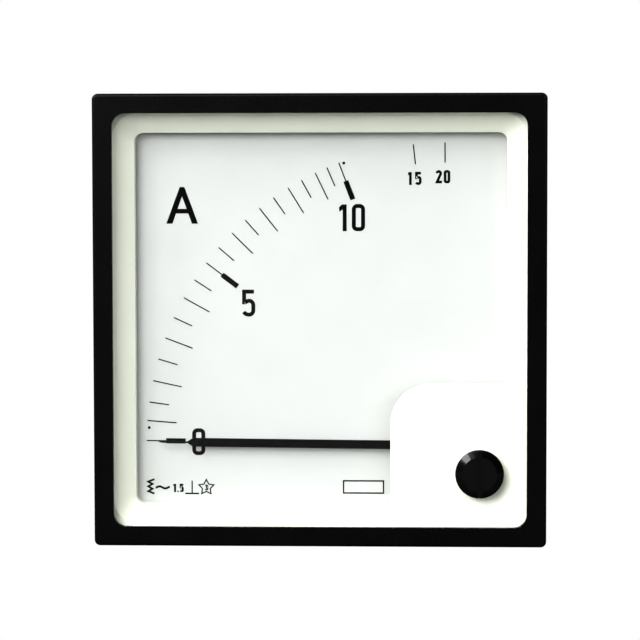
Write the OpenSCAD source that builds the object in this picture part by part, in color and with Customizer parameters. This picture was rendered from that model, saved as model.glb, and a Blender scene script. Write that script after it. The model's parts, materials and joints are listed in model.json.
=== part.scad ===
// Panel ammeter, 96 x 96 mm front, moving-iron movement with a 90 degree scale.
// X runs right and Z up as the dial is read, Y runs back into the panel.
// The origin is the middle of the bezel's rear face, which lies on the panel at y = 0.

/* [Bezel and window] */
// Outer width and height of the bezel
bezel_w = 96; // [90:1:110]
// Height of the bezel in front of the panel
bezel_h = 5.5; // [5.1:0.1:8]
// Width of the black frame around the window
bezel_lip = 4.15; // [3.6:0.05:6]
// Thickness of the bezel's side walls
bezel_wall = 1.5; // [1.2:0.1:1.8]
// Thickness of the bezel's front wall
lip_t = 1.2; // [0.9:0.1:1.5]
// Outer corner radius of the bezel
bezel_r = 1.2; // [0.9:0.1:3]
// Rounding of the bezel's front edge
bezel_edge = 0.6; // [0.3:0.1:0.8]
// Corner radius of the bezel's opening
opening_r = 2.8; // [1:0.1:5]
// Thickness of the clear window
window_t = 1.5; // [1:0.1:1.8]
// Thickness of the seal behind the window
gasket_t = 0.4; // [0.3:0.1:0.7]

/* [Dial mask] */
// Width of the white ring between the bezel and the dial
ring_w = 4.1; // [3:0.1:5]
// Thickness of the mask's walls
mask_t = 0.8; // [0.6:0.1:1.1]
// Height of the ring's inner edge above the dial
ring_edge = 3.2; // [2:0.1:4]
// Corner radius of the dial opening
dial_r = 1.9; // [1:0.1:3]
// Width of the corner cover, from the ring's inner edge
cover_w = 24.8; // [23:0.1:30]
// Height of the corner cover, from the ring's inner edge
cover_h = 26; // [23:0.1:30]
// Corner radius of the cover
cover_r = 8.5; // [5:0.5:11]
// Rounding of the cover's front edge
cover_edge = 0.7; // [0.3:0.1:0.8]

/* [Case] */
// How far the bezel stands out past the case on each side
case_step = 3; // [2.7:0.1:3.4]
// Depth of the case behind the panel
case_depth = 45; // [44:1:70]
// Wall thickness of the case
case_t = 2; // [1.6:0.1:2.3]
// Outer corner radius of the case
case_r = 3; // [2.5:0.1:5]
// Width of each snap lug on the bezel
lug_w = 8; // [5:0.5:12]
// Distance of the snap lugs from the middle
lug_x = 25; // [15:1:32]
// Distance of the clamp pockets from the middle
pocket_z = 20; // [12:1:30]
// Length of a clamp pocket
pocket_w = 12; // [6:1:14]

/* [Dial] */
// Thickness of the dial plate
dial_t = 0.8; // [0.5:0.1:1.5]
// Full-scale deflection of the pointer
full_angle = 89; // [80:1:90]
// Rise of the zero mark, and of the resting pointer, above the horizontal
zero_angle = 0.55; // [0:0.05:1]
// Gap between the scale and the ring
scale_margin = 2; // [1.5:0.05:5]
// Length of a whole-ampere mark
long_mark = 6.3; // [4:0.1:8]
// Length of a half-ampere mark
short_mark = 4.3; // [2:0.1:6]
// Width of a thin mark
mark_w = 0.24; // [0.2:0.01:0.5]
// Width of the thick bar at 0, 5 and 10 A
bar_w = 1.1; // [0.6:0.05:2]
// Length of the thin part and of the thick part of those marks
bar_l = 4.2; // [2:0.1:6]
// Diameter of the two dots at the ends of the accurate range
dot_d = 0.6; // [0.3:0.05:1]
// Distance of the spindle from the ring's right inner edge
pivot_in_x = 12.75; // [12.6:0.05:15]
// Distance of the spindle from the ring's lower inner edge
pivot_in_z = 12.6; // [12.5:0.05:15]

/* [Pointer and hairspring] */
// Width of the pointer
pointer_w = 1.85; // [1:0.05:2.5]
// Thickness of the pointer's sheet
pointer_t = 0.35; // [0.25:0.05:0.6]
// Width of the pointer's reading blade
blade_w = 0.35; // [0.2:0.05:0.6]
// Length of the pointer's reading blade
blade_l = 6.2; // [3:0.1:10]
// How far the tip stays inside the scale's outer edge
tip_gap = 2.8; // [0:0.1:4]
// Gap between the pointer and the dial
pointer_gap = 2.1; // [1.8:0.1:4]
// Width of the pointer's tail
tail_w = 1.6; // [1.2:0.1:2]
// Travel past each end of the scale
overtravel = 3; // [1:0.5:4]
// Distance of the tail weight from the spindle
tail_weight_r = 5.25; // [5:0.05:7.2]
// Distance of the side weights from the spindle
side_weight_r = 5.2; // [5:0.05:5.8]
// Radius of a balance weight
weight_r = 1.4; // [1.2:0.05:1.9]
// Radius of the spindle
spindle_r = 0.6; // [0.5:0.05:0.8]
// Turns of the hairspring
spring_turns = 4.5; // [3:0.5:6]
// Outer radius of the hairspring
spring_r = 5.4; // [4.8:0.1:5.6]
// Width of the hairspring's strip
spring_w = 0.3; // [0.2:0.05:0.5]
// Thickness of the hairspring's strip
spring_t = 0.12; // [0.08:0.01:0.16]

/* [Zero adjuster] */
// Distance of the adjuster from the ring's right inner edge
adjuster_in_x = 5.85; // [5.4:0.05:6.5]
// Distance of the adjuster from the ring's lower inner edge
adjuster_in_z = 7.25; // [6.8:0.05:7.8]
// Diameter of the adjuster's head
knob_d = 10.3; // [8:0.1:11]
// Diameter of the head's flat face
knob_face_d = 7.4; // [5:0.1:7.6]
// Height of the adjuster's head
knob_h = 1.6; // [1.2:0.1:2.5]
// Width of the screwdriver slot
slot_w = 1; // [0.6:0.1:1.6]
// Radius of the adjuster's stem
stem_r = 2; // [1.8:0.1:2.4]
// Offset of the adjuster's eccentric pin
eccentric = 1; // [0.6:0.05:1.2]
// Radius of the eccentric pin
pin_r = 0.5; // [0.4:0.05:0.6]
// Distance of the lever's balancing end from the spindle
lever_tail_r = 6.8; // [6:0.05:7.2]
// Radius of the lever's balancing end
lever_tail_end = 1.8; // [1.4:0.05:2]
// Sideways offset of the lever's balancing end
lever_tail_side = 0.35; // [0:0.05:0.5]

/* [Movement] */
// Outer radius of the winding
coil_r = 13.5; // [12:0.1:14]
// Radius of the coil former's bore
coil_bore = 8.2; // [7.4:0.1:8.4]
// Diameter of the winding's wire
wire_d = 1.6; // [1:0.1:2.2]
// Thickness of the iron vanes
iron_t = 0.4; // [0.3:0.05:0.6]
// Depth of the damping chamber
chamber_d = 6; // [5:0.5:8]
// Thickness of the bridge over the dial
bridge_t = 0.9; // [0.7:0.1:1.3]
// Radius of the bridge's pillars
pillar_r = 1.5; // [1.3:0.1:1.7]
// Distance of the pillars from the spindle
pillar_off = 11; // [10.6:0.1:11.2]

/* [Terminals] */
// Distance of each terminal stud from the middle
stud_x = 15; // [13:0.5:18]
// Height of the terminal studs above the middle
stud_z = 10; // [8:1:20]
// Radius of the terminal studs
stud_r = 2.5; // [2:0.5:3]
// Length of a stud behind the case
stud_len = 17; // [16:0.5:25]
// Width across the flats of the nuts
nut_af = 8; // [7.8:0.1:10]
// Height of a nut
nut_h = 3.2; // [2.4:0.1:3.6]

/* [Hidden] */
$fn = 64;
eps = 0.01;

// Clearances, all named here
slide_gap = 0.1;        // between parts of the front that drop into each other
case_gap = 0.3;         // between the case and what stands inside it
run_gap = 0.05;         // radial, between a shaft and its bore
seat_gap = 0.02;        // between fastened parts that only touch
screw_gap = 0.1;        // radial, around a screw or stud
stop_gap = 0.08;        // between the tail and a pillar at either end of its travel
lid_gap = 0.5;          // between the damping vane and its chamber
vane_gap = 0.7;         // between the fixed and the moving iron

// Front to back, y grows into the panel
y_front = -bezel_h;
y_window = y_front + lip_t;
y_gasket = y_window + window_t;
y_mask = y_gasket + gasket_t;
y_flange = y_mask + mask_t;           // front of the case flange, also the cover's underside
jewel_proud = 0.9;
y_jewel = y_flange + 0.3;
y_bridge = y_jewel + jewel_proud;
lever_t = 0.3;
y_lever = y_bridge + bridge_t + slide_gap;
y_spring = y_lever + lever_t + 0.3;
y_pointer = y_spring + spring_w + 0.45;
y_dial = y_pointer + pointer_t + pointer_gap;
y_dial_back = y_dial + dial_t;
y_ring = y_dial - ring_edge;          // inner edge of the sloping ring
plate_t = 2;
y_frame = y_dial_back + 0.8;
y_chamber = y_frame + plate_t;
y_lid = y_chamber + chamber_d;
lid_t = 0.8;
foot_h = 1.7;                         // feet of the coil former on the lid
y_coil = y_lid + lid_t + foot_h;
y_wall = case_depth - case_t;         // inner face of the case's rear wall
rear_room = 5.5;                      // behind the movement, for the heads of the studs
y_base_back = y_wall - rear_room;
y_base = y_base_back - plate_t;       // plate that closes the movement at the back
former_room = 1;                      // between the coil former and that plate
y_coil_back = y_base - former_room;
coil_len = y_coil_back - y_coil;
collar_h = 1;                         // raised rings round the studs on the rear wall
y_collar = case_depth + collar_h;

// Squares of the front, as half widths from the middle
bezel_half = bezel_w / 2;
open_half = bezel_half - bezel_lip;
cavity_half = bezel_half - bezel_wall;
tray_half = cavity_half - 0.3;        // window, seal and mask flange
flange_half = cavity_half - slide_gap;
case_half = bezel_half - case_step;
inner_half = case_half - case_t;
dial_half = open_half - ring_w;
plate_half = inner_half - case_gap;   // dial plate
ring_out = open_half + 0.4;           // the ring's slope starts under the lip
mouth_half = ring_out + 0.9;          // mouth of the case behind the mask
ledge_w = 9;                          // corner ledges under the dial
ledge_h = 6;

// Snap lugs, and the pockets for the clamps that pull the case against the panel
tongue_t = 0.85;
hook_h = 0.8;
hook_l = 2;
lug_gap = 0.4;                        // beside a lug
lug_in = case_half + slide_gap;
pocket_y = 16;
pocket_h = 4;
pocket_d = 1.2;

// Spindle, adjuster and the line between them
pivot_x = dial_half - pivot_in_x;
pivot_z = -dial_half + pivot_in_z;
adjuster_x = dial_half - adjuster_in_x;
adjuster_z = -dial_half + adjuster_in_z;
lever_dx = adjuster_x - pivot_x;
lever_dz = adjuster_z - pivot_z;
lever_l = norm([lever_dx, lever_dz]);
lever_angle = atan2(lever_dz, lever_dx);

// Movement around the spindle
scale_r = dial_half + pivot_x - scale_margin;
tip_r = scale_r - tip_gap;
tail_l = pillar_off + 1.2;
side_l = 7.4;
weight_front = 0.2;                   // how far a balance weight stands out of the arm
weight_back = 1.2;
stop_angle = asin((pillar_r + tail_w / 2 + stop_gap) / pillar_off);
pillar_angles = [overtravel + stop_angle - zero_angle,
                 -full_angle - overtravel - stop_angle - zero_angle];
frame_half = min(inner_half - pivot_x, inner_half + pivot_z) - 0.4;
plate_r = 2;                          // corners of the movement's square plates
post_r = 2;
post_off = frame_half - post_r - 0.3;
chamber_r = frame_half - 0.9;
chamber_wall = 0.9;
vane_angle = 6;                       // from the damping vane to the chamber's end walls
chamber_angles = [overtravel + vane_angle - zero_angle,
                  -full_angle - overtravel - vane_angle - zero_angle];
vane_t = 0.3;
vane_r = 4.6;                         // inner edge of the damping vane's blade
arm_h = 1.2;
y_arm = y_chamber + (chamber_d - arm_h) / 2;
coil_flange = 1.2;
former_t = 0.8;
fixed_r = coil_bore - run_gap;
moving_r = fixed_r - iron_t - vane_gap;
iron_in = 3;                          // from the ends of the former to the ends of the iron
moving_l = coil_len - 2 * iron_in;
y_moving = y_coil + iron_in;
moving_angle = 28;                    // half the span of the moving iron
fixed_angles = [-70, 60];             // span of the fixed iron
tongue_angle = -10;                   // past it the fixed iron is cut back
tongue_share = 0.45;                  // length of the cut-back part
tip_h = 0.5;                          // pivot cones at both ends of the spindle
jewel_r = 1.2;
lever_hole_r = jewel_r + run_gap;
y_tip = y_lever + lever_t + slide_gap - tip_h;    // front end of the spindle
y_tip_back = y_base - 0.2;
collet_r = 1.2;
dial_screw_at = [[-7.8, 7.7], [10.5, -10.6]];
dial_hole_r = 4;                      // where the pointer's hub passes the dial
pointer_eye_r = 2.4;                  // of the pointer and the lever round the spindle
dial_screw_r = 1;
dial_head_r = 1.5;
dial_head_h = 0.9;
stem_end = y_bridge - 0.2;
pin_end = y_lever + lever_t + 0.2;
clip_t = 0.3;
base_screw_r = 1;
base_head_h = 1.3;
base_head_r = 1.9;
base_reach = 7;                       // thread in the posts
fix_off = 11;                         // screws that hold the movement in the case
fix_r = 1.45;
fix_head_r = 2.8;
fix_head_h = 1.5;
fix_reach = 3.5;                      // thread in the movement's base
boss_r = 3;
foot_off = 9;                         // feet of the coil former, and the bosses that clamp it
foot_r = 1.2;
clamp_r = 1.6;
post_gap = 0.15;                      // round the posts
hub_hole_r = 2;                       // where the spindle passes the frame and its cover
hub_wall_r = 3;
hub_wall_t = 1;
bridge_screw_r = 0.6;
bridge_screw_in = 2.2;                // thread in the pillars
bridge_head_r = 1.3;
bridge_head_h = 0.7;
pillar_stub_r = 1;
jewel_nut_af = 4;
front_nut_h = 0.6;
rear_nut_h = 0.9;
rear_jewel_proud = 1.8;
link_t = 0.8;
link_w = 5;
link_in = 4;                          // from the ends of the former to the links
link_eye_r = 4.6;                     // round the studs
head_h = 3;
washer_t = 0.8;
clip_plate_t = 1;
spring_washer_t = 1.2;
y_nut = y_collar + washer_t;
y_plate = y_nut + nut_h;
y_split = y_plate + clip_plate_t;
y_clamp = y_split + spring_washer_t;
y_clamp_back = y_clamp + nut_h;
groove_w = 0.6;
stud_chamfer = 0.6;
nut_chamfer = 0.5;
collar_rim = 3;
collar_r = nut_af / 2 + collar_rim;

// Ampere values with their share of the full-scale deflection
calibration = [[0, 0], [1, 0.0432], [1.5, 0.0833], [2, 0.13], [3, 0.2257], [4, 0.3209], [5, 0.41],
               [6, 0.4943], [7, 0.5734], [8, 0.6484], [9, 0.7145], [10, 0.7691], [15, 0.9325],
               [20, 1]];
function deflection(amps) = lookup(amps, calibration) * full_angle;
long_values = [1, 2, 3, 4, 6, 7, 8, 9];
short_values = [1.5, 2.5, 3.5, 4.5, 5.5, 6.5, 7.5, 8.5, 9.5, 15, 20];
bar_values = [0, 5, 10];
dot_values = [0.65, 10.3];
dot_in = 0.45;                         // centres of the dots inside the scale's outer edge
print_t = 0.05;                        // thickness of the printing

// ---- Shapes ----

// Extrudes a shape drawn in X and Z from y0 back to y1
module slab(y0, y1) {
    translate([0, y1, 0]) rotate([90, 0, 0]) linear_extrude(y1 - y0) children();
}

// Round bar along Y, tapered if r1 is given
module rod(y0, y1, r, r1 = -1) {
    translate([0, y1, 0]) rotate([90, 0, 0]) cylinder(h = y1 - y0, r1 = r1 < 0 ? r : r1, r2 = r);
}

// Turns a profile of [radius, y] points about the Y axis
module revolve() {
    rotate([-90, 0, 0]) rotate_extrude() children();
}

// Box from one corner to the opposite one
module block(low, high) {
    translate(low) cube(high - low);
}

// Rectangle with true round corners
module rounded(w, h, r) {
    square([w - 2 * r, h], center = true);
    square([w, h - 2 * r], center = true);
    for (x = [-1, 1], z = [-1, 1]) translate([x * (w / 2 - r), z * (h / 2 - r)]) circle(r);
}

// Sweeps a profile around a rectangle whose corner centres lie at +-cx, +-cz.
// The profile's x is the distance outwards from those centre lines, its y the depth.
module sweep(cx, cz) {
    for (turn = [0, 180]) rotate([0, turn, 0]) {
        linear_extrude(2 * cz, center = true) translate([cx, 0]) children();
        rotate([0, 90, 0]) linear_extrude(2 * cx, center = true) translate([cz, 0]) children();
        translate([cx, 0, -cz]) rotate([-90, 0, 0]) rotate_extrude(angle = 90) children();
        translate([cx, 0, cz]) rotate([0, -90, 0]) rotate([-90, 0, 0]) rotate_extrude(angle = 90)
            children();
    }
}

// Plate from y0 to y1 whose front edge is rounded with radius e
module soft_slab(w, h, r, e, y0, y1) {
    slab(y0 + e, y1) rounded(w, h, r);
    slab(y0, y1) rounded(w - 2 * e, h - 2 * e, r - e);
    sweep(w / 2 - r, h / 2 - r) intersection() {
        translate([r - e, y0 + e]) circle(e);
        translate([r - e - eps, y0]) square([e + eps, e + eps]);
    }
}

// Wedge of a disc between two angles, seen from the front
module sector(r, from, to) {
    steps = 8;
    far = r / cos((to - from) / steps / 2) + 1;
    intersection() {
        circle(r);
        polygon(concat([[0, 0]], [for (i = [0:steps]) let (a = from + (to - from) * i / steps)
            far * [cos(a), sin(a)]]));
    }
}

module at_pivot() {
    translate([pivot_x, 0, pivot_z]) children();
}

module at_adjuster() {
    translate([adjuster_x, 0, adjuster_z]) children();
}

// Turns about the Y axis so that +X points at the given angle, anticlockwise from the front
module aim(angle) {
    rotate([0, -angle, 0]) children();
}

module at_pillars() {
    at_pivot() for (a = pillar_angles) aim(a) translate([pillar_off, 0, 0]) children();
}

module at_posts() {
    at_pivot() for (x = [-1, 1], z = [-1, 1]) translate([x * post_off, 0, z * post_off]) children();
}

module at_fixings() {
    at_pivot() for (x = [-1, 1]) translate([x * fix_off, 0, 0]) children();
}

module at_studs() {
    for (x = [-1, 1]) translate([x * stud_x, 0, stud_z]) children();
}

module hexagon(y0, y1, across) {
    slab(y0, y1) circle(across / 2 / cos(30), $fn = 6);
}

// Screw with a slotted cheese head, its head towards the front
module slotted_screw(y_head, head_r, head_h, shank_r, y_end) {
    difference() {
        union() {
            rod(y_head, y_head + head_h, head_r);
            rod(y_head + head_h - eps, y_end, shank_r);
        }
        slab(y_head - 1, y_head + head_h * 0.4) square([3 * head_r, head_r * 0.3], center = true);
    }
}

// ---- Front ----

// Snap lug on the bezel's upper side: a tongue through the flange with a hook into the case
module snap_lug() {
    root = 1;
    block([-lug_w / 2, -root, lug_in], [lug_w / 2, 0, cavity_half + eps]);
    block([-lug_w / 2, -root, lug_in], [lug_w / 2, y_dial_back, lug_in + tongue_t]);
    translate([-lug_w / 2, y_dial_back, lug_in]) rotate([0, 90, 0]) linear_extrude(lug_w)
        polygon([[-eps, 0], [hook_h, -hook_l * 0.5], [hook_h, -hook_l * 0.7], [-eps, -hook_l]]);
}

module bezel() color([0.06, 0.05, 0.05]) {
    cavity_r = 0.5;
    difference() {
        soft_slab(bezel_w, bezel_w, bezel_r, bezel_edge, y_front, 0);
        slab(y_front - 1, 1) rounded(2 * open_half, 2 * open_half, opening_r);
        slab(y_window, 1) rounded(2 * cavity_half, 2 * cavity_half, cavity_r);
    }
    for (turn = [0, 180], x = [-1, 1]) rotate([0, turn, 0]) translate([x * lug_x, 0, 0]) snap_lug();
}

module window() color([0.85, 0.9, 0.92, 0.3]) difference() {
    slab(y_window, y_gasket) rounded(2 * tray_half, 2 * tray_half, 1);
    at_adjuster() rod(y_window - 1, y_gasket + 1, stem_r + run_gap);
}

module window_gasket() color([0.2, 0.2, 0.2]) difference() {
    slab(y_gasket, y_mask) rounded(2 * tray_half, 2 * tray_half, 1);
    slab(y_gasket - 1, y_mask + 1) rounded(2 * ring_out, 2 * ring_out, opening_r);
}

// White moulding: flange, sloping ring with an upright inner edge, and the corner cover
module dial_mask() color([0.96, 0.97, 0.94]) difference() {
    skirt = y_pointer - 1;
    right = ring_out + mask_t;
    left = dial_half - cover_w;
    top = -dial_half + cover_h;
    span = bezel_w;     // wider than the cover, whose far sides are cut off
    union() {
        sweep(dial_half - dial_r, dial_half - dial_r) translate([dial_r - dial_half, 0]) polygon([
            [dial_half, y_ring],
            [ring_out, y_mask],
            [tray_half, y_mask],
            [tray_half, y_flange],
            [ring_out + 0.5, y_flange],
            [dial_half + mask_t, y_ring + 0.5],
            [dial_half + mask_t, y_dial - case_gap],
            [dial_half, y_dial - case_gap]
        ]);
        // cover: a tray whose right and lower sides run out into the flange
        intersection() {
            translate([left + span / 2, 0, top - span / 2]) difference() {
                soft_slab(span, span, cover_r, cover_edge, y_mask, skirt);
                slab(y_flange, skirt + 1)
                    rounded(span - 2 * mask_t, span - 2 * mask_t, cover_r - mask_t);
            }
            union() {
                block([left - 1, y_mask, -right], [right, y_flange, top + 1]);
                block([left - 1, y_mask, -dial_half - mask_t], [dial_half + mask_t, skirt, top + 1]);
            }
        }
    }
    at_adjuster() rod(y_mask - 1, y_flange + 1, stem_r + 0.3);
}

// ---- Dial ----

module dial_plate() color([0.97, 0.98, 0.96]) difference() {
    slab(y_dial, y_dial_back) rounded(2 * plate_half, 2 * plate_half, 1.5);
    at_pivot() rod(y_dial - 1, y_dial_back + 1, dial_hole_r);
    at_pillars() rod(y_dial - 1, y_dial_back + 1, pillar_r + 0.4);
    at_pivot() for (at = dial_screw_at) translate([at[0], 0, at[1]])
        rod(y_dial - 1, y_dial_back + 1, dial_screw_r + screw_gap);
}

// Mark of the scale: a printed bar from r0 out to r1, w wide, at the given deflection
module mark(angle, r0, r1, w) {
    at_pivot() aim(180 - zero_angle - angle)
        block([r0, y_dial - print_t, -w / 2], [r1, y_dial, w / 2]);
}

module scale_marks() color([0.08, 0.08, 0.08]) {
    for (v = long_values) mark(deflection(v), scale_r - long_mark, scale_r, mark_w);
    for (v = short_values) mark(deflection(v), scale_r - short_mark, scale_r, mark_w);
    for (v = bar_values) {
        mark(deflection(v), scale_r - bar_l - eps, scale_r, mark_w);
        mark(deflection(v), scale_r - 2 * bar_l, scale_r - bar_l, bar_w);
    }
    for (v = dot_values) at_pivot() aim(180 - zero_angle - deflection(v))
        translate([scale_r - dot_in, 0, 0]) rod(y_dial - print_t, y_dial, dot_d / 2);
}

module dial_screws() color([0.75, 0.74, 0.7])
    at_pivot() for (at = dial_screw_at) translate([at[0], 0, at[1]])
        slotted_screw(y_dial - dial_head_h, dial_head_r, dial_head_h, dial_screw_r, y_chamber - 0.5);

// ---- Case ----

module case() color([0.09, 0.09, 0.1]) difference() {
    rim = case_half - case_r;
    union() {
        // flange, side walls and a funnel mouth for the mask, as one profile swept round
        sweep(rim, rim) translate([-rim, 0]) polygon([
            [mouth_half, y_flange],
            [flange_half, y_flange],
            [flange_half, 0],
            [case_half, 0],
            [case_half, case_depth],
            [inner_half, case_depth],
            [inner_half, 0.6]
        ]);
        slab(y_wall, case_depth) rounded(2 * case_half, 2 * case_half, case_r);
        // corner ledges under the dial, all but the movement's corner
        for (turn = [0, 90, 180]) rotate([0, -turn, 0])
            slab(y_dial_back, y_dial_back + ledge_h) translate([inner_half, inner_half])
                polygon([[0.5, 0.5], [-ledge_w, 0.5], [-ledge_w, 0], [0, -ledge_w], [0.5, -ledge_w]]);
        at_studs() rod(case_depth - eps, y_collar, collar_r);
    }
    at_studs() rod(y_wall - 1, y_collar + 1, stud_r + screw_gap);
    at_fixings() rod(y_wall - 1, case_depth + 1, fix_r + screw_gap);
    // notches in the flange and windows in the walls for the snap lugs
    for (turn = [0, 180], x = [-1, 1]) rotate([0, turn, 0]) translate([x * lug_x, 0, 0]) {
        block([-lug_w / 2 - lug_gap, y_flange - 1, case_half],
            [lug_w / 2 + lug_gap, eps, flange_half + 1]);
        block([-lug_w / 2 - lug_gap, y_dial_back - hook_l - slide_gap, inner_half - 1],
            [lug_w / 2 + lug_gap, y_dial_back + case_gap, case_half + 1]);
    }
    for (x = [-1, 1], z = [-1, 1]) translate([x * case_half, pocket_y, z * pocket_z])
        cube([2 * pocket_d, pocket_h, pocket_w], center = true);
}

// ---- Movement, fixed parts ----

// Low wall round the spindle that shuts the damping chamber, but for the way of the vane's arm
module hub_wall(y0, y1) {
    difference() {
        rod(y0, y1, hub_wall_r + hub_wall_t);
        rod(y0 - 1, y1 + 1, hub_wall_r);
    }
}

module movement_frame() color([0.85, 0.84, 0.8]) difference() {
    end_wall = 4;       // thickness of the chamber's two end walls, in degrees
    union() {
        at_pivot() {
            slab(y_frame, y_chamber) rounded(2 * frame_half, 2 * frame_half, plate_r);
            slab(y_chamber - eps, y_lid) difference() {
                sector(chamber_r, chamber_angles[1] - end_wall, chamber_angles[0] + end_wall);
                sector(chamber_r - chamber_wall, chamber_angles[1], chamber_angles[0]);
                circle(hub_wall_r + hub_wall_t / 2);
            }
            hub_wall(y_chamber - eps, y_arm - lid_gap);
            for (at = dial_screw_at) translate([at[0], 0, at[1]])
                rod(y_dial_back, y_frame + eps, 2 * dial_screw_r);
        }
        at_posts() rod(y_chamber - eps, y_base, post_r);
    }
    at_pivot() {
        rod(y_frame - 1, y_chamber + 1, hub_hole_r);
        rod(y_arm + arm_h + lid_gap - seat_gap, y_lid + 1, hub_wall_r + hub_wall_t + seat_gap);
        for (at = dial_screw_at) translate([at[0], 0, at[1]])
            rod(y_dial_back - 1, y_chamber - 0.2, dial_screw_r + seat_gap);
    }
    at_pillars() rod(y_frame - 1, y_chamber - 0.2, pillar_stub_r + seat_gap);
    at_posts() rod(y_base - base_reach - 1, y_base + 1, base_screw_r + seat_gap);
}

module damping_cover() color([0.75, 0.74, 0.7]) difference() {
    at_pivot() {
        slab(y_lid, y_lid + lid_t) rounded(2 * frame_half, 2 * frame_half, plate_r);
        hub_wall(y_arm + arm_h + lid_gap, y_lid + eps);
    }
    at_pivot() rod(y_lid - 1, y_lid + lid_t + 1, hub_hole_r);
    at_posts() rod(y_lid - 1, y_lid + lid_t + 1, post_r + post_gap);
}

module coil_bobbin() color([0.9, 0.88, 0.8]) difference() {
    half = coil_r + 0.7;
    at_pivot() {
        rod(y_coil, y_coil_back, coil_bore + former_t);
        for (y = [y_coil, y_coil_back - coil_flange]) slab(y, y + coil_flange)
            rounded(2 * half, 2 * half, plate_r);
        for (x = [-1, 1], z = [-1, 1]) translate([x * foot_off, 0, z * foot_off])
            rod(y_lid + lid_t, y_coil + eps, foot_r);
    }
    at_pivot() rod(y_coil - 1, y_coil_back + 1, coil_bore);
    at_posts() rod(y_coil - 1, y_coil_back + 1, post_r + post_gap);
}

// Round wire wound on the former: the outer layer shows as rounded turns
module coil_winding() color([0.72, 0.4, 0.2]) {
    room = coil_len - 2 * coil_flange - 2 * slide_gap;
    turns = floor(room / wire_d);
    pitch = room / turns;
    first = y_coil + coil_flange + slide_gap;
    crest = coil_r - wire_d / 2;
    at_pivot() revolve() {
        translate([coil_bore + former_t + seat_gap, first])
            square([crest - coil_bore - former_t - seat_gap, room]);
        for (i = [0:turns - 1]) translate([crest, first + (i + 0.5) * pitch]) circle(wire_d / 2);
    }
}

// Iron sheet curved inside the former, cut back to a tongue at one end
module fixed_vane() color([0.5, 0.5, 0.52])
    at_pivot() difference() {
        slab(y_moving, y_moving + moving_l) difference() {
            sector(fixed_r, fixed_angles[0], fixed_angles[1]);
            circle(fixed_r - iron_t);
        }
        slab(y_moving + moving_l * tongue_share, y_moving + moving_l + 1) difference() {
            sector(fixed_r + 1, tongue_angle, fixed_angles[1] + 1);
            circle(fixed_r - 2 * iron_t);
        }
    }

// Rear plate of the movement, with the bosses that stand it off the case's rear wall
module movement_base() color([0.85, 0.84, 0.8]) difference() {
    union() {
        at_pivot() {
            slab(y_base, y_base_back) rounded(2 * frame_half, 2 * frame_half, plate_r);
            for (x = [-1, 1], z = [-1, 1]) translate([x * foot_off, 0, z * foot_off])
                rod(y_coil_back, y_base + eps, clamp_r);
        }
        at_fixings() rod(y_base_back - eps, y_wall, boss_r);
    }
    at_pivot() rod(y_base - 1, y_base_back + 1, jewel_r + seat_gap);
    at_posts() rod(y_base - 1, y_base_back + 1, base_screw_r + screw_gap);
    at_fixings() rod(y_base_back, y_wall + 1, fix_r + seat_gap);
}

module base_screws() color([0.75, 0.74, 0.7])
    at_posts() translate([0, y_base_back + base_head_h, 0]) rotate([0, 0, 180])
        slotted_screw(0, base_head_r, base_head_h, base_screw_r, base_head_h + plate_t + base_reach);

module movement_screws() color([0.75, 0.74, 0.7])
    at_fixings() translate([0, case_depth + fix_head_h, 0]) rotate([0, 0, 180])
        slotted_screw(0, fix_head_r, fix_head_h, fix_r, fix_head_h + case_t + fix_reach);

// Turned pillars from the frame through the dial, shouldered at both ends
module bridge_pillars() color([0.8, 0.68, 0.38]) at_pillars() {
    difference() {
        rod(y_bridge + bridge_t, y_frame, pillar_r);
        rod(y_bridge, y_bridge + bridge_t + bridge_screw_in + 0.3, bridge_screw_r + seat_gap);
    }
    rod(y_frame - eps, y_chamber - 0.3, pillar_stub_r);
}

// Plate over the hairspring that carries the front jewel
module front_bridge() color([0.8, 0.68, 0.38]) difference() {
    arm_w = 3.2;
    union() {
        at_pivot() rod(y_bridge, y_bridge + bridge_t, 3 * jewel_r);
        at_pillars() rod(y_bridge, y_bridge + bridge_t, pillar_r + 0.5);
        at_pivot() for (a = pillar_angles) aim(a)
            block([0, y_bridge, -arm_w / 2], [pillar_off, y_bridge + bridge_t, arm_w / 2]);
    }
    at_pivot() rod(y_bridge - 1, y_bridge + bridge_t + 1, jewel_r + seat_gap);
    at_pillars() rod(y_bridge - 1, y_bridge + bridge_t + 1, bridge_screw_r + screw_gap);
}

module bridge_screws() color([0.75, 0.74, 0.7])
    at_pillars() slotted_screw(y_bridge - bridge_head_h, bridge_head_r, bridge_head_h,
        bridge_screw_r, y_bridge + bridge_t + bridge_screw_in);

// Threaded jewel screw along Y from its slotted end y0 to its cupped end y1
module jewel_screw(y0, y1) {
    cup = tip_h + 0.1;
    difference() {
        rod(y0, y1, jewel_r);
        rod(y1 - cup, y1 + eps, 0.12, spindle_r + 0.12);
        slab(y0 - 1, y0 + 0.35) square([3 * jewel_r, 0.4], center = true);
    }
}

module front_jewel_screw() color([0.7, 0.7, 0.72])
    at_pivot() jewel_screw(y_jewel, y_tip + tip_h);

module rear_jewel_screw() color([0.7, 0.7, 0.72])
    at_pivot() translate([0, y_base_back + rear_jewel_proud, 0]) rotate([0, 0, 180])
        jewel_screw(0, y_base_back + rear_jewel_proud - y_tip_back + tip_h);

// Thin nut from y0 to y1 that locks a jewel screw
module locknut(y0, y1) {
    difference() {
        hexagon(y0, y1, jewel_nut_af);
        rod(y0 - 1, y1 + 1, jewel_r + seat_gap);
    }
}

module jewel_locknuts() color([0.8, 0.68, 0.38]) at_pivot() {
    locknut(y_bridge - front_nut_h, y_bridge);
    locknut(y_base_back, y_base_back + rear_nut_h);
}

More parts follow.
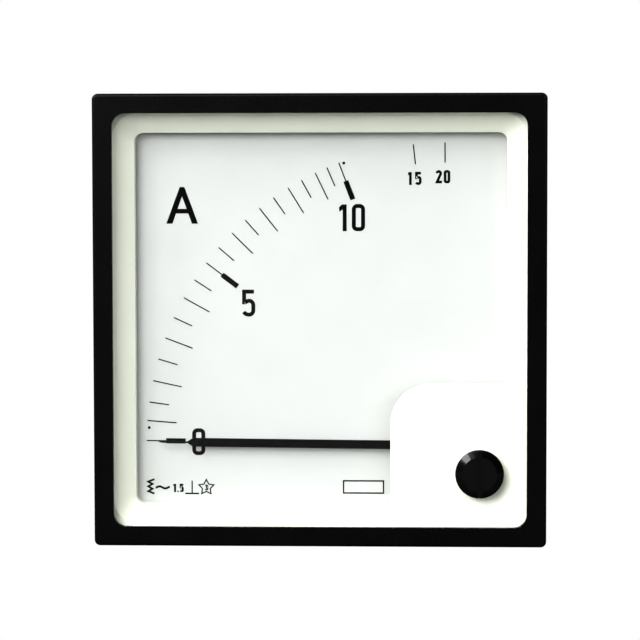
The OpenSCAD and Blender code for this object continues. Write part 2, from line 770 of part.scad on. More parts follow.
// Copper strips from the studs to the two ends of the winding
module terminal_links() color([0.78, 0.5, 0.3]) {
    y0 = y_wall - link_t;
    leg_z = pivot_z + frame_half + 0.5;
    leg_x = pivot_x - frame_half - 0.5;
    difference() {
        union() {
            at_studs() rod(y0, y_wall, link_eye_r);
            // right strip: across and down to the top of the winding
            block([stud_x, y0, stud_z - link_w / 2], [pivot_x + link_w / 2, y_wall, stud_z + link_w / 2]);
            block([pivot_x - link_w / 2, y0, leg_z], [pivot_x + link_w / 2, y_wall, stud_z]);
            block([pivot_x - link_w / 2, y_coil_back - link_in, leg_z],
                [pivot_x + link_w / 2, y_wall, leg_z + link_t]);
            block([pivot_x - link_w / 2, y_coil_back - link_in, pivot_z + coil_r + run_gap],
                [pivot_x + link_w / 2, y_coil_back - link_in + link_t, leg_z + link_t]);
            // left strip: down and across to the side of the winding
            block([-stud_x - link_w / 2, y0, pivot_z - link_w / 2],
                [-stud_x + link_w / 2, y_wall, stud_z]);
            block([-stud_x, y0, pivot_z - link_w / 2], [leg_x, y_wall, pivot_z + link_w / 2]);
            block([leg_x - link_t, y_coil + link_in, pivot_z - link_w / 2],
                [leg_x, y_wall, pivot_z + link_w / 2]);
            block([leg_x - link_t, y_coil + link_in, pivot_z - link_w / 2],
                [pivot_x - coil_r - run_gap, y_coil + link_in + link_t, pivot_z + link_w / 2]);
        }
        at_studs() rod(y0 - 1, y_wall + 1, stud_r + screw_gap);
    }
}

// ---- Terminals ----

module terminal_studs() color([0.8, 0.68, 0.38]) at_studs() {
    y_end = case_depth + stud_len;
    groove = stud_r - 0.35;
    hexagon(y_wall - link_t - head_h, y_wall - link_t, nut_af);
    revolve() polygon([
        [0, y_wall - link_t - eps],
        [stud_r, y_wall - link_t - eps],
        [stud_r, y_clamp_back],
        [groove, y_clamp_back],
        [groove, y_clamp_back + groove_w],
        [stud_r, y_clamp_back + groove_w],
        [stud_r, y_end - stud_chamfer],
        [stud_r - stud_chamfer, y_end],
        [0, y_end]
    ]);
}

module ring(y0, y1, r) {
    difference() {
        rod(y0, y1, r);
        rod(y0 - 1, y1 + 1, stud_r + screw_gap);
    }
}

// Nut with both faces chamfered
module nut(y0) {
    corner = nut_af / 2 / cos(30);
    difference() {
        intersection() {
            hexagon(y0, y0 + nut_h, nut_af);
            union() {
                rod(y0, y0 + nut_chamfer, nut_af / 2, corner + eps);
                rod(y0 + nut_chamfer, y0 + nut_h - nut_chamfer, corner + eps);
                rod(y0 + nut_h - nut_chamfer, y0 + nut_h, corner + eps, nut_af / 2);
            }
        }
        rod(y0 - 1, y0 + nut_h + 1, stud_r + seat_gap);
    }
}

module stud_washers() color([0.75, 0.74, 0.7]) at_studs() ring(y_collar, y_nut, nut_af / 2 + 1);

module fixing_nuts() color([0.8, 0.68, 0.38]) at_studs() nut(y_nut);

module terminal_plates() color([0.75, 0.74, 0.7]) at_studs() difference() {
    slab(y_plate, y_split) rounded(nut_af + 2, nut_af + 2, 1);
    rod(y_plate - 1, y_split + 1, stud_r + screw_gap);
}

module spring_washers() color([0.6, 0.6, 0.62]) at_studs() difference() {
    ring(y_split, y_clamp, nut_af / 2);
    block([0, y_split - 1, -0.4], [nut_af, y_clamp + 1, 0.4]);
}

module clamp_nuts() color([0.8, 0.68, 0.38]) at_studs() nut(y_clamp);

// ---- Movement, turning parts ----

module spindle() color([0.7, 0.7, 0.72]) at_pivot() revolve() polygon([
    [0, y_tip],
    [0.06, y_tip],
    [spindle_r, y_tip + tip_h],
    [spindle_r, y_tip_back - tip_h],
    [0.06, y_tip_back],
    [0, y_tip_back]
]);

// One stamping: pointer to the left, tail to the right, and two side arms
module pointer() color([0.07, 0.07, 0.07]) at_pivot() aim(-zero_angle) difference() {
    shoulder = tip_r - blade_l;
    slab(y_pointer, y_pointer + pointer_t) {
        polygon([
            [0, pointer_w / 2],
            [-shoulder + 1.2, pointer_w / 2],
            [-shoulder, blade_w / 2],
            [-tip_r + 1, blade_w / 2],
            [-tip_r, 0.05],
            [-tip_r, -0.05],
            [-tip_r + 1, -blade_w / 2],
            [-shoulder, -blade_w / 2],
            [-shoulder + 1.2, -pointer_w / 2],
            [0, -pointer_w / 2]
        ]);
        circle(pointer_eye_r);
        translate([0, -tail_w / 2]) square([tail_l, tail_w]);
        square([tail_w, 2 * side_l], center = true);
    }
    rod(y_pointer - 1, y_pointer + pointer_t + 1, 1.1 + seat_gap);
}

// Bush that carries the pointer on the spindle
module pointer_hub() color([0.8, 0.68, 0.38]) at_pivot() difference() {
    union() {
        rod(y_pointer - 0.2, y_pointer + pointer_t + eps, 1.1);
        rod(y_pointer + pointer_t, y_pointer + pointer_t + 0.8, 1.8);
    }
    rod(y_pointer - 1, y_pointer + pointer_t + 2, spindle_r + seat_gap);
}

// Brass weights pinched on the tail and the side arms, set so that the pointer balances
module balance_weights() color([0.8, 0.68, 0.38]) at_pivot()
    for (arm = [[0, tail_weight_r], [90, side_weight_r], [-90, side_weight_r]])
        aim(arm[0] - zero_angle) difference() {
            translate([arm[1], 0, 0])
                rod(y_pointer - weight_front, y_pointer + pointer_t + weight_back, weight_r);
            block([0, y_pointer - seat_gap, -tail_w / 2 - seat_gap],
                [tail_l + 1, y_pointer + pointer_t + seat_gap, tail_w / 2 + seat_gap]);
        }

module spring_collet() color([0.8, 0.68, 0.38]) at_pivot() difference() {
    rod(y_spring - 0.1, y_spring + spring_w + 0.15, collet_r);
    rod(y_spring - 1, y_spring + spring_w + 1, spindle_r + seat_gap);
}

// Iron sheet curved about the spindle, on a web with a bush
module moving_vane() color([0.5, 0.5, 0.52]) at_pivot() aim(-zero_angle) difference() {
    union() {
        slab(y_moving, y_moving + moving_l) difference() {
            sector(moving_r, -moving_angle, moving_angle);
            circle(moving_r - iron_t);
        }
        slab(y_moving, y_moving + iron_t) difference() {
            sector(moving_r - iron_t / 2, -moving_angle, moving_angle);
            circle(spindle_r + iron_t);
        }
        rod(y_moving, y_moving + 4 * iron_t, spindle_r + 2 * iron_t);
    }
    rod(y_moving - 1, y_moving + 4 * iron_t + 1, spindle_r + seat_gap);
}

// Light blade that pushes the air round the damping chamber
module damping_vane() color([0.8, 0.8, 0.82]) at_pivot() aim(-zero_angle) difference() {
    union() {
        rod(y_arm, y_arm + arm_h, 2 * spindle_r);
        block([0, y_arm, -vane_t / 2], [vane_r + vane_t, y_arm + arm_h, vane_t / 2]);
        block([vane_r, y_chamber + lid_gap, -vane_t / 2],
            [chamber_r - chamber_wall - lid_gap, y_lid - lid_gap, vane_t / 2]);
    }
    rod(y_arm - 1, y_arm + arm_h + 1, spindle_r + seat_gap);
}

// ---- Zero adjustment ----

// Lever on the jewel screw: a fork over the eccentric pin, and the stud of the hairspring
module zero_lever() color([0.8, 0.68, 0.38]) at_pivot() aim(lever_angle) {
    fork_gap = 0.1;
    fork_w = 2 * (pin_r + fork_gap + 0.8);
    fork_in = lever_l + eccentric * cos(45) - pin_r - 0.5;
    fork_out = lever_l + eccentric + pin_r + 0.2;
    stud_at = spring_r + spring_t / 2 + 0.4 + seat_gap;
    difference() {
        slab(y_lever, y_lever + lever_t) {
            circle(pointer_eye_r);
            translate([0, -0.8]) square([fork_in, 1.6]);
            translate([fork_in - 0.6, -fork_w / 2]) square([fork_out - fork_in + 0.6, fork_w]);
            translate([-stud_at - 0.6, -0.6]) square([stud_at + 0.6, 1.2]);
            translate([-lever_tail_r, -lever_tail_side]) circle(lever_tail_end);
        }
        rod(y_lever - 1, y_lever + lever_t + 1, lever_hole_r);
        block([fork_in, y_lever - 1, -pin_r - fork_gap],
            [fork_out + 1, y_lever + lever_t + 1, pin_r + fork_gap]);
    }
    translate([-stud_at, 0, 0]) rod(y_lever, y_spring + spring_w + 0.1, 0.4);
}

// Points of a spiral from radius r0 out to r1, which it reaches on the X axis
function spiral(r0, r1, turns) = let (steps = round(turns * 24)) [for (i = [0:steps])
    let (a = -turns * 360 * (1 - i / steps)) (r0 + (r1 - r0) * i / steps) * [cos(a), sin(a)]];

// Flat spiral from the collet out to the lever's stud
module hairspring() color([0.85, 0.75, 0.45]) at_pivot() aim(lever_angle + 180) {
    start_r = collet_r + seat_gap;
    inner = spiral(start_r, spring_r - spring_t / 2, spring_turns);
    outer = spiral(start_r + spring_t, spring_r + spring_t / 2, spring_turns);
    slab(y_spring, y_spring + spring_w)
        polygon(concat(outer, [for (i = [len(inner) - 1:-1:0]) inner[i]]));
}

// Slotted head in front of the window, stem, and the eccentric pin in the lever's fork
module zero_adjuster() color([0.05, 0.05, 0.05]) at_adjuster() {
    rim = 0.45;
    y_base_face = y_window - slide_gap;
    y_face = y_base_face - knob_h;
    difference() {
        revolve() polygon([
            [0, y_face],
            [knob_face_d / 2, y_face],
            [knob_d / 2, y_base_face - rim],
            [knob_d / 2, y_base_face],
            [stem_r, y_base_face],
            [stem_r, stem_end],
            [0, stem_end]
        ]);
        slab(y_face - 1, y_base_face - rim + 0.1) square([slot_w, knob_d + 2], center = true);
    }
    aim(lever_angle) translate([eccentric, 0, 0]) rod(stem_end - eps, pin_end, pin_r);
}

// Push-on ring behind the cover that keeps the adjuster in
module adjuster_clip() color([0.6, 0.6, 0.62]) at_adjuster() difference() {
    rod(y_flange + slide_gap, y_flange + slide_gap + clip_t, stem_r + 1.1);
    rod(y_flange - 1, y_flange + 2, stem_r + seat_gap);
}

bezel();
window();
window_gasket();
dial_mask();
dial_plate();
scale_marks();
dial_screws();
case();
movement_frame();
damping_cover();
coil_bobbin();
coil_winding();
fixed_vane();
movement_base();
base_screws();
movement_screws();
bridge_pillars();
front_bridge();
bridge_screws();
front_jewel_screw();
rear_jewel_screw();
jewel_locknuts();
terminal_links();
terminal_studs();
stud_washers();
fixing_nuts();
terminal_plates();
spring_washers();
clamp_nuts();
spindle();
pointer();
pointer_hub();
balance_weights();
spring_collet();
moving_vane();
damping_vane();
zero_lever();
hairspring();
zero_adjuster();
adjuster_clip();
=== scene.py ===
"""Looks of the panel meter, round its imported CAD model: finishes, printing, threads, light."""

import json
import math

import bmesh
import bpy
from mathutils import Euler, Matrix, Vector


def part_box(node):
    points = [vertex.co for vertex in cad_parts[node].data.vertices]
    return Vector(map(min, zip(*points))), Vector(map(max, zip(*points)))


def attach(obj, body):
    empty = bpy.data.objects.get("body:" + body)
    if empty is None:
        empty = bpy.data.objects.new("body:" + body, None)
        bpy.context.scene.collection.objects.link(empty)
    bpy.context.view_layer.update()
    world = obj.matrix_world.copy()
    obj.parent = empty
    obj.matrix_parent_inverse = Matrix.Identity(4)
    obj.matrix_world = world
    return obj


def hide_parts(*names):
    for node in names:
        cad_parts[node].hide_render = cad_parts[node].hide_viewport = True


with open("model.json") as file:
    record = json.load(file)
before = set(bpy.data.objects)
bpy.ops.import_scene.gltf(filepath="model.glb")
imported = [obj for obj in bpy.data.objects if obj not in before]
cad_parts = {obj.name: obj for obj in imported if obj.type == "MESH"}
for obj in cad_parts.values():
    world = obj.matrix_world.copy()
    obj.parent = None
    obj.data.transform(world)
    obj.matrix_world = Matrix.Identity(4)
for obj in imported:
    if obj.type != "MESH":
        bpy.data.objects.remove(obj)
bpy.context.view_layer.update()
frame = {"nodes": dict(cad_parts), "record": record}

MM = 0.001

# Places read from the frame: the front of the printed marks, and the meter's underside
PRINT_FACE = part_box("scale_marks")[0].y
FLOOR_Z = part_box("bezel")[0].z

# The print that is added here: half its thickness, and how far its middle lies behind PRINT_FACE
PRINT_HALF = 0.01 * MM
PRINT_INSET = 0.02 * MM

# The camera: distance from its target, azimuth to the right of the front, elevation and roll
CAMERA_TARGET = Vector((-0.07, 0, -0.13)) * MM
CAMERA_DISTANCE = 0.6
CAMERA_AZIMUTH, CAMERA_ELEVATION, CAMERA_ROLL = 2.658, 3.73, -0.1
CAMERA_LENS = 158.37
SENSOR_WIDTH = 36.0


# ---- Node trees ----


class Paint:
    """A Principled material and short calls that add nodes to it."""

    def __init__(self, name, **sockets):
        self.material = bpy.data.materials.new(name)
        self.material.use_nodes = True
        self.nodes = self.material.node_tree.nodes
        self.links = self.material.node_tree.links
        self.nodes.clear()
        self.shader = self.nodes.new("ShaderNodeBsdfPrincipled")
        self.output = self.nodes.new("ShaderNodeOutputMaterial")
        self.link(self.shader.outputs[0], self.output.inputs["Surface"])
        for socket, value in sockets.items():
            self.set(socket.replace("_", " "), value)

    def set(self, socket, value):
        if isinstance(value, tuple) and len(value) == 3:
            value = (*value, 1.0)
        self.shader.inputs[socket].default_value = value

    def link(self, a, b):
        self.links.new(a, b)

    def node(self, kind, **settings):
        made = self.nodes.new("ShaderNode" + kind)
        for name, value in settings.items():
            setattr(made, name, value)
        return made

    def coordinates(self, scale=(1, 1, 1)):
        place = self.node("TexCoord")
        mapping = self.node("Mapping")
        mapping.inputs["Scale"].default_value = scale
        self.link(place.outputs["Object"], mapping.inputs["Vector"])
        return mapping.outputs["Vector"]

    def noise(self, size_mm, detail=3.0, stretch=(1, 1, 1)):
        """Noise whose blotches are about size_mm across."""
        made = self.node("TexNoise")
        made.inputs["Scale"].default_value = 1.0 / (size_mm * MM)
        made.inputs["Detail"].default_value = detail
        self.link(self.coordinates(stretch), made.inputs["Vector"])
        return made.outputs["Fac"]

    def vary(self, socket, source, low, high, start=0.3, end=0.7):
        """Drives a number of the shader from a 0 to 1 source."""
        made = self.node("MapRange")
        made.inputs["From Min"].default_value = start
        made.inputs["From Max"].default_value = end
        made.inputs["To Min"].default_value = low
        made.inputs["To Max"].default_value = high
        self.link(source, made.inputs["Value"])
        self.link(made.outputs["Result"], self.shader.inputs[socket])

    def tint(self, source, low, high, start=0.3, end=0.7):
        """Blends the base colour between two colours."""
        made = self.node("ValToRGB")
        ramp = made.color_ramp
        ramp.elements[0].position = start
        ramp.elements[0].color = (*low, 1.0)
        ramp.elements[1].position = end
        ramp.elements[1].color = (*high, 1.0)
        self.link(source, made.inputs["Fac"])
        self.link(made.outputs["Color"], self.shader.inputs["Base Color"])

    def bump(self, source, height_mm, strength=1.0):
        made = self.node("Bump")
        made.inputs["Distance"].default_value = height_mm * MM
        made.inputs["Strength"].default_value = strength
        last = self.shader.inputs["Normal"].links
        if last:
            self.link(last[0].from_socket, made.inputs["Normal"])
        self.link(source, made.inputs["Height"])
        self.link(made.outputs["Normal"], self.shader.inputs["Normal"])


# ---- Materials ----


def moulding(name, low, high, roughness, grain_mm, grain_height_mm, **more):
    """Moulded plastic: an even spark-eroded grain and slight cloudiness."""
    paint = Paint(name, Roughness=roughness, **more)
    cloud = paint.noise(9.0, 2.0)
    paint.tint(cloud, low, high)
    grain = paint.noise(grain_mm, 2.0)
    paint.vary("Roughness", grain, roughness - 0.05, roughness + 0.05)
    paint.bump(grain, grain_height_mm)
    return paint.material


def metal(name, low, high, roughness, brushed=(1, 1, 1), line_mm=0.25, height_mm=0.003):
    """Bare or plated metal with fine tool marks drawn out along one axis."""
    paint = Paint(name, Metallic=1.0, Roughness=roughness)
    paint.tint(paint.noise(2.2, 3.0), low, high)
    lines = paint.noise(line_mm, 2.0, brushed)
    paint.vary("Roughness", lines, roughness - 0.07, roughness + 0.09)
    paint.bump(lines, height_mm)
    return paint.material


def clear_window():
    """Polished clear sheet: light goes straight through, and more is mirrored at a slant."""
    straight_on, falloff = 0.02, 5.0
    paint = Paint("clear_window")
    paint.nodes.remove(paint.shader)
    through = paint.node("BsdfTransparent")
    through.inputs["Color"].default_value = (0.985, 0.995, 0.99, 1.0)
    gloss = paint.node("BsdfGlossy")
    gloss.inputs["Roughness"].default_value = 0.03
    slant = paint.node("LayerWeight")
    slant.inputs["Blend"].default_value = 0.5
    power = paint.node("Math", operation="POWER")
    power.inputs[1].default_value = falloff
    share = paint.node("MapRange")
    share.inputs["To Min"].default_value = straight_on
    mix = paint.node("MixShader")
    paint.link(slant.outputs["Facing"], power.inputs[0])
    paint.link(power.outputs[0], share.inputs["Value"])
    paint.link(share.outputs["Result"], mix.inputs[0])
    paint.link(through.outputs[0], mix.inputs[1])
    paint.link(gloss.outputs[0], mix.inputs[2])
    paint.link(mix.outputs[0], paint.output.inputs["Surface"])
    return paint.material


def enamelled_copper():
    """Enamelled wire: warm copper under a thin clear coat."""
    paint = Paint("enamelled_copper", Metallic=1.0, Roughness=0.22, Coat_Weight=0.5)
    paint.tint(paint.noise(1.5, 3.0), (0.42, 0.13, 0.045), (0.62, 0.23, 0.09))
    paint.bump(paint.noise(0.3, 1.0), 0.003)
    return paint.material


def print_ink():
    """Flat black printing ink."""
    paint = Paint("print_ink", Roughness=0.5, Specular_IOR_Level=0.04)
    paint.tint(paint.noise(0.5, 2.0), (0.0006, 0.0006, 0.0006), (0.002, 0.0018, 0.0018))
    paint.bump(paint.noise(0.15, 1.0), 0.001)
    return paint.material


MATERIALS = {
    "black_moulding": moulding(
        "bezel_black", (0.0011, 0.001, 0.0011), (0.002, 0.0018, 0.0019), 0.25, 0.22, 0.008,
        Specular_IOR_Level=0.08
    ),
    "case_moulding": moulding(
        "case_black", (0.011, 0.011, 0.0115), (0.017, 0.017, 0.0175), 0.55, 0.4, 0.03
    ),
    "clear_window": clear_window(),
    "seal": moulding("seal_rubber", (0.012, 0.012, 0.012), (0.018, 0.018, 0.018), 0.8, 0.3, 0.02),
    "white_moulding": moulding(
        "mask_white", (0.9, 0.905, 0.8), (0.92, 0.925, 0.825), 0.38, 0.35, 0.003
    ),
    "dial_paint": moulding(
        "dial_white", (0.562, 0.56, 0.558), (0.577, 0.575, 0.574), 0.55, 0.2, 0.0025
    ),
    "print_black": print_ink(),
    "zinc_steel": metal("zinc_plate", (0.56, 0.57, 0.58), (0.68, 0.68, 0.66), 0.32),
    "frame_moulding": moulding(
        "natural_nylon", (0.66, 0.62, 0.52), (0.72, 0.68, 0.58), 0.45, 0.3, 0.006
    ),
    "bobbin_moulding": moulding(
        "cream_nylon", (0.74, 0.7, 0.58), (0.8, 0.76, 0.64), 0.42, 0.3, 0.005
    ),
    "enamelled_copper": enamelled_copper(),
    "soft_iron": metal("soft_iron", (0.25, 0.25, 0.26), (0.36, 0.36, 0.36), 0.45, (1, 0.15, 1)),
    "brass": metal("turned_brass", (0.6, 0.45, 0.2), (0.72, 0.56, 0.28), 0.3, (1, 6, 1)),
    "bronze": metal("bronze_strip", (0.5, 0.28, 0.1), (0.6, 0.36, 0.15), 0.3, (1, 4, 1)),
    "hard_steel": metal("ground_steel", (0.42, 0.42, 0.43), (0.55, 0.55, 0.55), 0.2, (1, 6, 1)),
    "spring_steel": metal("spring_steel", (0.16, 0.17, 0.19), (0.24, 0.25, 0.27), 0.34),
    "pointer_black": moulding(
        "pointer_paint", (0.0012, 0.0012, 0.0012), (0.0026, 0.0024, 0.0022), 0.4, 0.12, 0.002,
        Specular_IOR_Level=0.04
    ),
    "bare_aluminium": metal(
        "bare_aluminium", (0.72, 0.73, 0.74), (0.82, 0.82, 0.82), 0.3, (6, 1, 1)
    ),
    "knob_moulding": moulding(
        "knob_black", (0.0007, 0.0006, 0.0008), (0.0013, 0.0011, 0.0013), 0.15, 0.5, 0.002,
        Specular_IOR_Level=0.3
    ),
}


def dress_cad_nodes():
    """Gives each CAD node the finish of its slot."""
    slots = {s["node"]: s["material_slot"] for s in frame["record"]["subparts"]}
    for name, obj in frame["nodes"].items():
        obj.data.materials.clear()
        obj.data.materials.append(MATERIALS[slots[name]])
        for face in obj.data.polygons:
            face.material_index = 0


# ---- Printing on the dial ----


def arc(cx, cz, rx, rz, start, end, steps=14):
    """Points of an elliptical arc, angles in degrees anticlockwise from the right."""
    angles = [math.radians(start + (end - start) * i / steps) for i in range(steps + 1)]
    return [(cx + rx * math.cos(a), cz + rz * math.sin(a)) for a in angles]


def offset_line(points, distance, closed):
    """The points moved sideways by distance, with mitred corners."""
    moved = []
    count = len(points)
    for i, point in enumerate(points):
        before = points[i - 1] if closed or i > 0 else None
        after = points[(i + 1) % count] if closed or i < count - 1 else None
        here = Vector(point)
        way_in = (here - Vector(before)).normalized() if before else None
        way_out = (Vector(after) - here).normalized() if after else None
        way_in = way_in or way_out
        way_out = way_out or way_in
        along = (way_in + way_out).normalized()
        normal = Vector((-along.y, along.x))
        mitre = max(normal.dot(Vector((-way_in.y, way_in.x))), 0.4)
        moved.append(tuple(here + normal * distance / mitre))
    return moved


def stroke(points, width, closed=False):
    """Closed outlines of a line of even width along the points."""
    left = offset_line(points, width / 2, closed)
    right = offset_line(points, -width / 2, closed)
    if closed:
        return [left, right]
    return [left + right[::-1]]


def rounded_ring(width, height, corner):
    """Closed line round a rectangle whose lower left corner is the origin, with round corners."""
    line = arc(width - corner, height - corner, corner, corner, 0, 90, 8)
    line += arc(corner, height - corner, corner, corner, 90, 180, 8)
    line += arc(corner, corner, corner, corner, 180, 270, 8)
    return line + arc(width - corner, corner, corner, corner, 270, 360, 8)


def digit_0(width, height, pen):
    half = pen / 2
    middle_line = rounded_ring(width - pen, height - pen, 0.4 * width - half)
    return moved(stroke(middle_line, pen, closed=True), half, half)


def digit_1(width, height, pen):
    """Upright stem with a flat top and a slanting flag."""
    stem = width - pen
    top = 0.985 * height
    flag = [(width - 1.18 * pen, top), (0, 0.88 * height), (0.06 * width, 0.715 * height)]
    return [[(width, 0), (width, top)] + flag + [(stem, 0.8 * height), (stem, 0)]]


def digit_2(width, height, pen):
    half = pen / 2
    radius = width / 2 - half
    bend = arc(width / 2, height - half - radius, radius, radius, 175, -30)
    return stroke(bend + [(half * 1.15, half), (width, half)], pen)


def digit_3(width, height, pen):
    half, radius = pen / 2, (width - pen) / 2
    upper, lower = 0.22 * height, 0.25 * height
    bends = arc(width / 2, height - half - upper, 0.9 * radius, upper, 150, -80, 10)
    bends += arc(width / 2, half + lower, radius, lower, 80, -150, 10)
    return stroke(bends, pen)


def digit_5(width, height, pen):
    """Bar and stem in one stroke, and the bowl in a second one that starts in the stem."""
    half = pen / 2
    right, bowl_top, bar_z = width - half, 0.59 * height, height - half
    stem = stroke([(0.9 * width, bar_z), (half, bar_z), (half, 0.46 * height)], pen)
    bowl_x, shoulder, heel = 0.53 * width, 0.42 * height, 0.235 * height
    bowl = [(half * 1.2, 0.52 * height)]
    bowl += arc(bowl_x, shoulder, right - bowl_x, bowl_top - shoulder, 115, 0, 9)
    bowl += arc(bowl_x, heel, right - bowl_x, heel - half, 0, -90, 9)
    bowl += arc(bowl_x, heel, bowl_x - 0.6 * half, heel - half, -98, -158, 5)
    return stem + stroke(bowl, pen)


DIGITS = {"0": digit_0, "1": digit_1, "2": digit_2, "3": digit_3, "5": digit_5}


def letter_a(width, height):
    """Outlines of a capital A with a flat top."""
    half_top, foot = 0.073 * width, 0.19 * width
    bar_low, bar_high, inner_top = 0.278 * height, 0.403 * height, 0.75 * height
    centre = width / 2

    def inner(z):
        return (centre - foot) * (1 - z / inner_top)

    outer = [(0, 0), (centre - half_top, height), (centre + half_top, height), (width, 0)]
    outer += [(width - foot, 0), (centre + inner(bar_low), bar_low)]
    outer += [(centre - inner(bar_low), bar_low), (foot, 0)]
    hole = [
        (centre - inner(bar_high), bar_high),
        (centre, inner_top),
        (centre + inner(bar_high), bar_high),
    ]
    return [outer, hole]


def star(radius, points=5, share=0.52):
    """Corner points, round the origin, of a star that stands on two of its tips."""
    corners = []
    for i in range(2 * points):
        angle = math.radians(90 + 180 * i / points)
        reach = radius if i % 2 == 0 else radius * share
        corners.append((reach * math.cos(angle), reach * math.sin(angle)))
    return corners


def moved(outlines, dx, dz):
    return [[(x + dx, z + dz) for x, z in line] for line in outlines]


def number(text, width, height, pen, gap):
    """Outlines of a number centred on the origin; a 1 is narrower, with more room after it."""
    narrow, wide_gap = 0.58 * width, 1.9 * gap
    widths = [narrow if c == "1" else width for c in text]
    gaps = [0] + [wide_gap if c == "1" else gap for c in text[:-1]]
    x = -(sum(widths) + sum(gaps)) / 2
    outlines = []
    for character, wide, space in zip(text, widths, gaps):
        x += space
        outlines += moved(DIGITS[character](wide, height, pen), x, -height / 2)
        x += wide
    return outlines


def printed(name, outlines, dx=0.0, dz=0.0):
    """A thin black print of the outlines, in millimetres in the plane of the dial."""
    curve = bpy.data.curves.new(name, "CURVE")
    curve.dimensions = "2D"
    curve.fill_mode = "BOTH"
    curve.extrude = PRINT_HALF
    for line in outlines:
        spline = curve.splines.new("POLY")
        spline.points.add(len(line) - 1)
        for point, (x, z) in zip(spline.points, line):
            point.co = ((x + dx) * MM, (z + dz) * MM, 0, 1)
        spline.use_cyclic_u = True
    flat = bpy.data.objects.new(name, curve)
    bpy.context.scene.collection.objects.link(flat)
    bpy.context.view_layer.update()
    mesh = bpy.data.meshes.new_from_object(flat)
    bpy.data.objects.remove(flat)
    mesh.transform(Matrix.Rotation(math.radians(90), 4, "X"))
    mesh.transform(Matrix.Translation((0, PRINT_FACE + PRINT_INSET, 0)))
    mesh.materials.clear()
    mesh.materials.append(MATERIALS["print_black"])
    piece = bpy.data.objects.new(name, mesh)
    bpy.context.scene.collection.objects.link(piece)
    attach(piece, "housing")
    return piece


def scale_numbers():
    """Numbers inside the arc of the scale, by the middle of each in the plane of the dial."""
    big = {"width": 2.82, "height": 5.8, "pen": 0.84, "gap": 0.59}
    small = {"width": 1.38, "height": 2.8, "pen": 0.55, "gap": 0.38}
    places = [
        ("0", -26.5, -26.75, big),
        ("5", -15.6, 3.2, big),
        ("10", 6.62, 21.56, big),
        ("15", 20.04, 29.92, small),
        ("20", 26.05, 30.28, small),
    ]
    for text, x, z, style in places:
        printed("number_" + text, number(text, **style), x, z)


def unit_letter():
    printed("unit_a", letter_a(6.8, 7.85), -33.26, 20.28)


def symbol_moving_iron():
    """A standing zigzag with longer ends."""
    step, near, inner, outer = 0.52, 0.14, 1.06, 1.48
    zigzag = [(outer, 6 * step)]
    zigzag += [(near if i % 2 else inner, (6 - i) * step) for i in range(1, 6)]
    return stroke(zigzag + [(outer, 0)], 0.4)


def symbol_alternating():
    """A lying wave of a little more than one period."""
    length, period, crest_x, height, steps = 3.04, 2.5, 0.82, 0.22, 30
    along = [length * i / steps for i in range(steps + 1)]
    wave = [(x, height * math.cos(2 * math.pi * (x - crest_x) / period)) for x in along]
    return stroke(wave, 0.44)


def symbol_class():
    """The accuracy class, 1.5, with a square point."""
    style = {"height": 1.8, "pen": 0.44}
    one_width, five_width, five_x = 0.62, 0.88, 1.4
    point_left, point_right, point_top = 0.9, 1.2, 0.3
    point = [(point_left, 0), (point_right, 0), (point_right, point_top), (point_left, point_top)]
    return digit_1(one_width, **style) + moved(digit_5(five_width, **style), five_x, 0) + [point]


def symbol_upright():
    """A line standing on a longer one: the meter is used upright."""
    half, foot, side, top = 1.5, 0.32, 0.25 / 2, 2.95
    outline = [(-half, 0), (half, 0), (half, foot), (side, foot), (side, top)]
    return [outline + [(-side, top), (-side, foot), (-half, foot)]]


def symbol_test_voltage():
    """A star with its number inside."""
    digit = digit_3(width=0.84, height=1.25, pen=0.27)
    return stroke(star(radius=1.7), 0.25, closed=True) + moved(digit, -0.4, -0.65)


def dial_symbols():
    """The usual row of symbols: name, outlines, and place across and above the row's foot."""
    row_foot = -38.2
    row = [
        ("symbol_moving_iron", symbol_moving_iron(), -37.63, 0.15),
        ("symbol_alternating", symbol_alternating(), -35.86, 1.5),
        ("symbol_class", symbol_class(), -32.08, 0.5),
        ("symbol_upright", symbol_upright(), -27.98, 0.05),
        ("symbol_test_voltage", symbol_test_voltage(), -24.9, 1.55),
    ]
    for name, outlines, x, above_foot in row:
        printed(name, outlines, x, row_foot + above_foot)


def blank_box():
    """An empty printed box at the foot of the dial."""
    left, right, bottom, top, line = 4.75, 13.35, -37.75, -35.12, 0.3
    outline = [(left, bottom), (right, bottom), (right, top), (left, top)]
    printed("blank_box", stroke(outline, line, closed=True))


# ---- Studs with their thread ----


